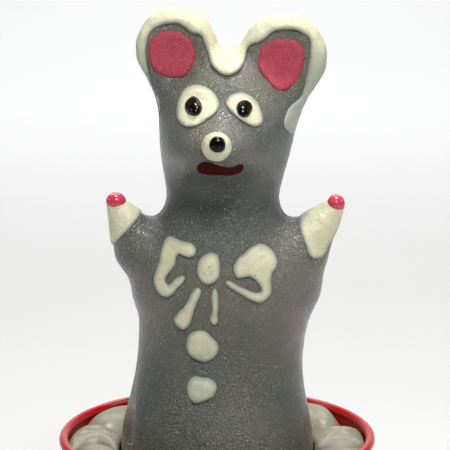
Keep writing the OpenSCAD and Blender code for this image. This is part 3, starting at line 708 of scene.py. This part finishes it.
PAD_RIGHT = [
    (20, 201.9), (23.8, 201.5), (26.3, 200.2), (27.2, 197.5), (27, 194.2), (25.7, 190), (23.2, 187.1),
    (20.7, 186.3), (18.3, 187.4), (15.8, 189.7), (13.8, 192.3), (13.1, 194.9), (13.5, 198), (16, 200.7)
]
MOUTH_SHAPE = [
    (-5.6, 165.9), (-4.3, 166.9), (-2.2, 167), (0.3, 166.3), (2.9, 165.5), (5.1, 165.4), (6.8, 166.3),
    (8, 166), (8.3, 164.7), (7.5, 163.1), (6, 162.4), (3.4, 162.1), (0.3, 162.4), (-2.6, 162.5),
    (-5, 163), (-5.9, 164.3)
]


def closed_curve(corners, steps=5):
    """A smooth closed curve through the corners, with steps points from each to the next."""
    p = np.array(corners, float)
    before, after, beyond = np.roll(p, 1, 0), np.roll(p, -1, 0), np.roll(p, -2, 0)
    rows = []
    for t in np.arange(steps) / steps:
        rows.append(p + 0.5 * t * (after - before + t * (2 * before - 5 * p + 4 * after - beyond
                                                          + t * (3 * (p - after) + beyond - before))))
    return np.stack(rows, axis=1).reshape(-1, 2)


def inside_curve(x, z, corners):
    """Field of the area in a smooth closed curve: negative inside, in millimetres."""
    curve = closed_curve(corners)
    nearest = np.full(x.shape, 1e9)
    crossed = np.zeros(x.shape, bool)
    for (xa, za), (xb, zb) in zip(curve, np.roll(curve, -1, 0)):
        dx, dz = xb - xa, zb - za
        t = np.clip(((x - xa) * dx + (z - za) * dz) / (dx * dx + dz * dz), 0, 1)
        nearest = np.minimum(nearest, np.hypot(x - xa - t * dx, z - za - t * dz))
        if dz:
            crossed ^= ((z >= za) != (z >= zb)) & (x < xa + (z - za) * dx / dz)
    return np.where(crossed, -nearest, nearest)


def drawn(*shapes):
    """One outline field from several closed shapes, the same at every depth."""
    def field(x, y, z):
        flat = [inside_curve(x[:, 0], z[:, 0], shape) for shape in shapes]
        return np.minimum.reduce(flat)[:, None] + 0 * y
    return field


def chest_paint():
    """The cream bow and the two buttons."""
    paint("bow_left_half", "bow_left", "cream_paint", drawn(BOW_LEFT), (-22, 120), (-4, 144),
          height=1.2, seed=11)
    paint("bow_right_half", "bow_right", "cream_paint", drawn(BOW_RIGHT), (0, 119), (22, 142),
          height=1.3, seed=13, edge=1.8)
    paint("bow_knot", "bow_knot_and_tails", "cream_paint", drawn(KNOT), (-9, 125), (4, 140),
          height=1.7, seed=15, edge=3)
    paint("bow_tails", None, "cream_paint", drawn(TAIL_LEFT, TAIL_RIGHT), (-16, 110), (3, 129),
          height=1.2, seed=17)
    paint("chest_buttons", "buttons", "cream_paint", drawn(BUTTON_TOP, BUTTON_LOW), (-12, 87), (3, 115),
          height=1.8, seed=19, edge=3.5)


def face_paint():
    """Eyes, mouth and the pink of the ears."""
    paint("left_eye_white", "eye_left", "cream_paint", drawn(EYE_LEFT), (-15, 174), (4, 191),
          height=1, seed=21, edge=1.8)
    paint("right_eye_white", "eye_right", "cream_paint", drawn(EYE_RIGHT), (0, 174), (17, 189),
          height=1, seed=23, edge=1.8)
    paint("left_pupil", "pupil_left", "black_paint", drawn(PUPIL_LEFT), (-12, 178), (-2, 188),
          height=2.6, seed=31, edge=2.7, step=0.35)
    paint("right_pupil", "pupil_right", "black_paint", drawn(PUPIL_RIGHT), (4, 177), (14, 187),
          height=2.5, seed=32, edge=2.4, step=0.35)
    paint("painted_mouth", "mouth", "mouth_red", drawn(MOUTH_SHAPE), (-8, 159), (11, 169),
          height=0.35, seed=25, edge=0.8, step=0.4)
    paint("left_ear_pad", "ear_pad_left", "pink_paint", drawn(PAD_LEFT), (-24, 187), (-4, 207),
          height=0.9, seed=27, edge=2.5)
    paint("right_ear_pad", "ear_pad_right", "pink_paint", drawn(PAD_RIGHT), (10, 184), (30, 205),
          height=0.9, seed=29, edge=2.5)


def skin_front(x, z):
    """Where the skin's front is, in y, at one place of the front view."""
    step = 0.25
    beside = np.array([-step, 0, step])
    ys = np.arange(-36, 0, step)
    d = skin(*np.meshgrid(x + beside, ys, z + beside, indexing="ij"), step)[1, :, 1]
    return ys[np.argmax(d < 0)]


def drop(name, node, look, at, size, seed):
    """A drop of thick paint, dried to a dome, with its centre at one place."""
    reach = max(size) + 1.5
    grid = Grid([a - reach for a in at], [a + reach for a in at], 0.3)
    p = (grid.x, grid.y, grid.z)
    d = ellipsoid(p, at, size) + 0.07 * lumps(p, seed, 3)
    points, faces = surface(grid, d)
    obj = piece(name, points, faces, look, "mouse", [node])
    mark(obj, "thin_and_shade", 0 * points[:, 0])
    return obj


def nose():
    """A cream ball on the muzzle with a black dot."""
    x, z = 0.1, 172.2
    y = skin_front(x, z) - 0.8
    drop("nose_ball", "nose_bead", CREAM, (x, y, z), (4.6, 3.6, 4.5), seed=33)
    drop("nose_dot", "nose_tip", BLACK, (x + 0.2, y - 3.1, z + 1.1), (2.5, 1.7, 2.5), seed=34)


# Where the cream edging stops on the front of the ears and forehead, as (x, z)
GREY_FACE = [
    (-26, 158), (-23, 172), (-18.2, 178), (-18, 183), (-20.5, 188.3), (-21.9, 194.5), (-21.6, 201.6),
    (-19.5, 205), (-16.3, 206.6), (-12.7, 206.8), (-10.3, 205.7), (-8, 204), (-5.2, 203.1), (-4, 200.8),
    (-2.9, 197.5), (-1.6, 194), (0.2, 192.2), (3, 191.2), (5.2, 191.6), (7.5, 193), (9, 195.3), (9.5, 198.4),
    (10.8, 200.1), (13.4, 200.9), (15.5, 202.3), (17.6, 204.3), (21, 204.8), (25.6, 204.5), (28.6, 202.2),
    (29, 198.8), (28.6, 194.6), (27.9, 190.2), (26.6, 184.4), (23.9, 182.1), (22, 180), (21.1, 177),
    (21.3, 175), (23.2, 172.6), (27, 170), (28, 158)
]


def ear_edge():
    """The cream slip along the ears' edges, with its tongue on the forehead."""
    grid = Grid((-29, -14, 166), (39, 12, FIGURE_TOP), 0.5)
    x, y, z = grid.x, grid.y, grid.z
    on_skin = skin(x, y, z, grid.step)
    front = -drawn(GREY_FACE)(x, y, z)
    left_side = x < 3
    lowest = np.where(left_side, 178, 171)
    back = smooth_max(-head_outline(x, z) - EAR_BORDER, lowest - z, 1.5)
    blend = np.clip((y + 0.5) / 2.5, 0, 1)
    band = front * (1 - blend) + back * blend + 0.16 * lumps((x, y, z), 41, 5)
    ends = np.where(left_side, (z - 180) / 14, (z - 174) / 16)
    thick = 0.3 + 1.1 * np.clip(ends, 0, 1)
    tall = thick * rounded(band, 1.9) * (1 + 0.1 * lumps((x, y, z), 42, 5))
    # A shallow line where the front and back dips of slip meet
    tall = tall - 0.3 * np.exp(-((y + 1.3) / 0.5) ** 2)
    points, faces = layer(grid, on_skin, band, tall)
    obj = piece("ear_edging", points, faces, CREAM, "mouse", ["ear_trim"])
    # Painted shade: the edging takes a colder, darker tone down the outer sides of the ears, carried in the
    # same mark as its thinning edges
    painted_side_shade = np.clip((207 - points[:, 2]) / 16, 0, 1) * np.clip(np.abs(points[:, 0] - 3) / 8 - 1, 0, 1)
    mark(obj, "thin_and_shade", np.maximum(1 + grid.sample(band, points) / 1.8, 0.8 * painted_side_shade))
    return obj


def left_paw_area(x, y, z):
    """Beyond a slanting edge across the arm."""
    return (x + 25) * 0.74 - (z - 146) * 0.67


def right_paw_area(x, y, z):
    """A leaf shape that hangs down over the arm's outer side."""
    return strokes(x, z, [(38, 150, 6), (32.4, 143.4, 5.9), (31.7, 136.4, 2.8)])


def arms_paint():
    """Cream caps on the paws, with pink tips."""
    cap = {"height": 0.7, "edge": 1.6, "depth": (-18, 10)}
    paint("left_paw_cap", "paw_left", "cream_paint", left_paw_area, (-40, 132), (-19, 157), seed=51, **cap)
    paint("right_paw_cap", "paw_right", "cream_paint", right_paw_area, (23, 130), (44, 157), seed=53, **cap)
    drop("left_paw_tip", "claw_left", TIP, (-31.9, -5.2, 151), (3.2, 3.4, 2.7), seed=55)
    drop("right_paw_tip", "claw_right", TIP, (37.7, -5.3, 150.2), (2.9, 3.3, 2.9), seed=56)


# ---------- the collar ----------

def collar():
    """Gathered vinyl round the mouse's base: a strip drawn up in thick soft folds."""
    around, across = 640, 52
    outer, inner = 49.2, 31.9
    seat = 67                    # height of the collar's edges
    theta, u = np.meshgrid(np.linspace(0, 2 * math.pi, around, endpoint=False),
                           np.linspace(0, 1, across), indexing="ij")
    rng = np.random.default_rng(12)

    def wander(count, size):
        """A smooth random curve round the ring."""
        total = 0
        for k in range(1, count + 1):
            wave = size / k ** 0.5 * rng.uniform(0.4, 1)
            total = total + wave * np.sin(k * theta + rng.uniform(0, 6.28))
        return total

    folds = 13
    twist = 1.3 * np.sin(2.2 * u + wander(4, 0.8))
    phase = (folds * theta + wander(6, 1) + twist) / 2
    ridge = np.abs(np.sin(phase)) ** 0.6
    size = 1 + wander(7, 0.2)
    swell = np.sin(math.pi * u ** 0.75) ** 0.6
    dent = 0.5 * np.sin(phase * 4 + 4 * u + wander(5, 0.9)) * wander(6, 0.6)
    height = seat + 0.6 * u + swell * (1 + 6.6 * size * (ridge - 0.25)) + dent * swell * ridge
    radius = outer + (inner - outer) * u - 1.1 * swell * (1 - ridge)
    lean = 0.13 * np.cos(phase) * np.sin(math.pi * u) * size
    points = np.stack([radius * np.cos(theta + lean), radius * np.sin(theta + lean), height], axis=-1)
    i, j = np.meshgrid(np.arange(around), np.arange(across - 1), indexing="ij")
    n = (i + 1) % around
    faces = np.stack([i * across + j, n * across + j, n * across + j + 1, i * across + j + 1], axis=-1)
    points, faces = points.reshape(-1, 3), faces.reshape(-1, 4).tolist()
    obj = piece("gathered_collar", points, faces, VINYL, "tub", ["collar"])
    # Where the painted shade falls: the valleys between the folds and the inner edge.
    mark(obj, "fold_shade", ((1 - ridge) ** 1.5 + np.clip(u * 6 - 5.2, 0, 1)).reshape(-1))
    thickness = obj.modifiers.new("thickness", "SOLIDIFY")
    thickness.thickness = 0.6 * MM
    thickness.offset = -1
    return obj


# ---------- small mechanical pieces ----------

def bob_coil():
    """The coil spring under the mouse."""
    low, high = (corner[2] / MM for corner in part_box("bob_spring"))
    turns, wire, mean = 5, 0.6, 6.6          # wire and mean are radii
    sides, steps = 10, 48 * turns
    t = np.linspace(0, 1, steps + 1)[:, None]
    k = np.arange(sides)[None] * 2 * math.pi / sides
    angle = 2 * math.pi * turns * t
    r = mean + wire * np.cos(k)
    points = np.stack([r * np.cos(angle), r * np.sin(angle),
                       low + wire + t * (high - low - 2 * wire) + wire * np.sin(k)], axis=-1).reshape(-1, 3)
    i, j = np.meshgrid(np.arange(steps), np.arange(sides), indexing="ij")
    n = (j + 1) % sides
    around = np.stack([i * sides + j, i * sides + n, (i + 1) * sides + n, (i + 1) * sides + j], axis=-1)
    faces = around.reshape(-1, 4)[:, ::-1].tolist()
    start = list(range(sides))
    end = [steps * sides + s for s in reversed(start)]
    faces += [start, end]
    obj = piece("bob_coil", points, faces, STEEL, "spindle", ["bob_spring"])
    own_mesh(obj)
    return obj


# ---------- stage ----------

def stage():
    """A pale floor that curves up into a backdrop."""
    depth, rise, curve = 2.5, 3.0, 0.9
    profile = [(-3.0, 0.0), (depth - curve, 0.0)]
    profile += [(depth - curve + curve * math.sin(a), curve - curve * math.cos(a))
                for a in np.linspace(0.1, math.pi / 2, 14)]
    profile += [(depth, rise)]
    width = 4.0
    verts = [(x, y, z) for y, z in profile for x in (-width, width)]
    faces = [(2 * i, 2 * i + 1, 2 * i + 3, 2 * i + 2) for i in range(len(profile) - 1)]
    mesh = bpy.data.meshes.new("backdrop")
    mesh.from_pydata(verts, [], faces)
    mesh.shade_smooth()
    obj = bpy.data.objects.new("backdrop", mesh)
    bpy.context.scene.collection.objects.link(obj)
    look = Look("backdrop_paper", (243.4, 243.4, 243.4), roughness=0.9)
    look.tint(look.span(look.noise(300, 2), 0.4, 0.7, 0, 0.3), (238.6, 238.6, 238.6))
    mesh.materials.append(look.material)


def lamp(name, place, aim, size, power, colour=(1, 1, 1)):
    """A soft light of size metres and power watts that points at aim."""
    data = bpy.data.lights.new(name, "AREA")
    data.shape = "RECTANGLE"
    data.size, data.size_y = size
    data.energy = power
    data.color = colour
    obj = bpy.data.objects.new(name, data)
    bpy.context.scene.collection.objects.link(obj)
    obj.location = place
    way = np.array(aim, float) - place
    obj.rotation_euler = (math.atan2(math.hypot(way[0], way[1]), -way[2]), 0, math.atan2(-way[0], way[1]))


def lights():
    aim = (0, 0, 0.13)
    lamp("left_softbox", (-0.75, 0.1, 0.5), aim, (0.2, 0.4), 0.6, (1, 0.98, 0.95))
    lamp("right_softbox", (0.72, 0, 0.5), aim, (0.2, 0.4), 1.0, (1, 0.97, 0.92))
    lamp("overhead_softbox", (0.04, 0.04, 0.75), aim, (0.16, 0.1), 2.3, (1, 0.99, 0.96))
    lamp("front_softbox", (0.04, -0.3, 0.5), (0, 0, 0.15), (0.1, 0.08), 1.5, (1, 0.99, 0.95))
    lamp("backdrop_light", (0, 1.2, 1.5), (0, 1.9, 0), (1.6, 0.5), 26)
    world = bpy.data.worlds.new("studio")
    world.use_nodes = True
    world.node_tree.nodes["Background"].inputs["Color"].default_value = (0.84, 1, 0.97, 1)
    world.node_tree.nodes["Background"].inputs["Strength"].default_value = 0.05
    bpy.context.scene.world = world
    bpy.context.scene.view_settings.view_transform = "Standard"


def camera():
    """Looks a little down at the mouse's front."""
    data = bpy.data.cameras.new("camera")
    data.sensor_width = 36
    data.lens = CAMERA_LENS
    obj = bpy.data.objects.new("camera", data)
    bpy.context.scene.collection.objects.link(obj)
    obj.location = CAMERA_AT
    obj.rotation_euler = (math.radians(90 - CAMERA_PITCH), 0, 0)
    bpy.context.scene.camera = obj


camera()
dress_frame()
mouse_body()
chest_paint()
face_paint()
nose()
ear_edge()
arms_paint()
collar()
bob_coil()
stage()
lights()


def corners(box):
    """A box as plain lists of numbers."""
    return [list(corner) for corner in box]
